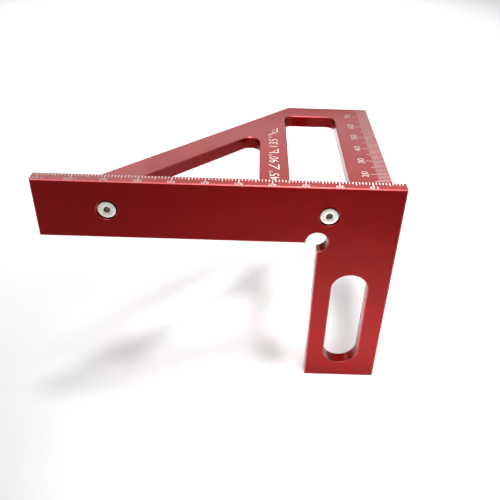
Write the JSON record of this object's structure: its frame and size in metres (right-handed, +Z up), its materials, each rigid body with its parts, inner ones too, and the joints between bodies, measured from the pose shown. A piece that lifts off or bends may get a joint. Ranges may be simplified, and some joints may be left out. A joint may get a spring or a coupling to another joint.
{
  "type": "combination square",
  "caption": "Rigid layout square: an L-shaped fence hooks over a board's edge and carries a slotted 45/90 degree blade, both with millimetre scales.",
  "frame": {"origin": "on the blade's underside, where it lies on the work: the middle of the front rail, halfway along the fence", "axes": "+X along the fence towards its zero end and the leg, +Y away from the fence along the blade's scale, +Z up, out of the blade's marked face"},
  "size_m": [0.112, 0.0825, 0.0774],
  "materials": {
    "anodised_aluminium": "fine bead-blasted and anodised deep red, satin",
    "stainless_steel": "bright turned stainless steel",
    "laser_marking": "matt off-white laser marks in the anodising"
  },
  "bodies": {
    "root": {"fence": "anodised_aluminium", "blade": "anodised_aluminium", "screw_left": "stainless_steel", "screw_right": "stainless_steel"}
  },
  "joints": []
}
